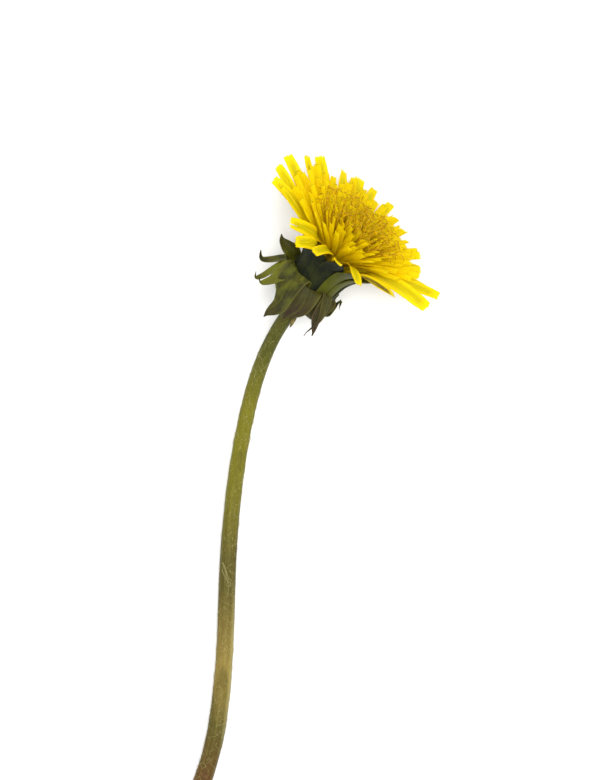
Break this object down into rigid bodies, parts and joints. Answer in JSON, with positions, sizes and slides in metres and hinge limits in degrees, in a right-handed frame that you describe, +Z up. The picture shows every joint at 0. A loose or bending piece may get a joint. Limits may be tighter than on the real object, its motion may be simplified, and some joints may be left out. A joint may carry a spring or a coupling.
{
  "type": "cut dandelion flower",
  "caption": "Cut dandelion lying on a surface: open yellow head, curled outer bracts and a bent hollow stem with a plain cut end.",
  "frame": {"origin": "on the table, under the middle of the whole flower's box", "axes": "+Z up from the table, +Y along the stem towards the head, +X to the side the head leans to"},
  "size_m": [0.059, 0.148, 0.0397],
  "materials": {
    "stem_skin": "waxy olive-green skin with fine hairs, paler low down and brown at the cut end",
    "flesh": "matt pale green plant flesh",
    "inner_bract": "matt, nearly black green with pale edges",
    "outer_bract": "matt olive green with brown-purple tips and pale edges",
    "yellow_strap": "satin bright yellow petal with fine lengthwise veins",
    "golden_strap": "satin golden yellow petal, with darker styles"
  },
  "bodies": {
    "root": {"scape": "stem_skin", "receptacle": "flesh", "inner_bract_01": "inner_bract", "inner_bract_02": "inner_bract", "inner_bract_03": "inner_bract", "inner_bract_04": "inner_bract", "inner_bract_05": "inner_bract", "inner_bract_06": "inner_bract", "inner_bract_07": "inner_bract", "inner_bract_08": "inner_bract", "inner_bract_09": "inner_bract", "inner_bract_10": "inner_bract", "inner_bract_11": "inner_bract", "inner_bract_12": "inner_bract", "inner_bract_13": "inner_bract", "outer_bract_01": "outer_bract", "outer_bract_02": "outer_bract", "outer_bract_03": "outer_bract", "outer_bract_04": "outer_bract", "outer_bract_05": "outer_bract", "outer_bract_06": "outer_bract", "outer_bract_07": "outer_bract", "outer_bract_08": "outer_bract", "outer_bract_09": "outer_bract", "outer_bract_10": "outer_bract", "outer_bract_11": "outer_bract", "outer_bract_12": "outer_bract", "outer_bract_13": "outer_bract", "ray_floret_01": "yellow_strap", "ray_floret_02": "yellow_strap", "ray_floret_03": "yellow_strap", "ray_floret_04": "yellow_strap", "ray_floret_05": "yellow_strap", "ray_floret_06": "yellow_strap", "ray_floret_07": "yellow_strap", "ray_floret_08": "yellow_strap", "ray_floret_09": "yellow_strap", "ray_floret_10": "yellow_strap", "ray_floret_11": "yellow_strap", "ray_floret_12": "yellow_strap", "ray_floret_13": "yellow_strap", "ray_floret_14": "yellow_strap", "ray_floret_15": "yellow_strap", "ray_floret_16": "yellow_strap", "ray_floret_17": "yellow_strap", "ray_floret_18": "yellow_strap", "ray_floret_19": "yellow_strap", "ray_floret_20": "yellow_strap", "ray_floret_21": "yellow_strap", "ray_floret_22": "yellow_strap", "ray_floret_23": "yellow_strap", "ray_floret_24": "yellow_strap", "middle_florets": "yellow_strap", "central_florets": "golden_strap"}
  },
  "joints": []
}
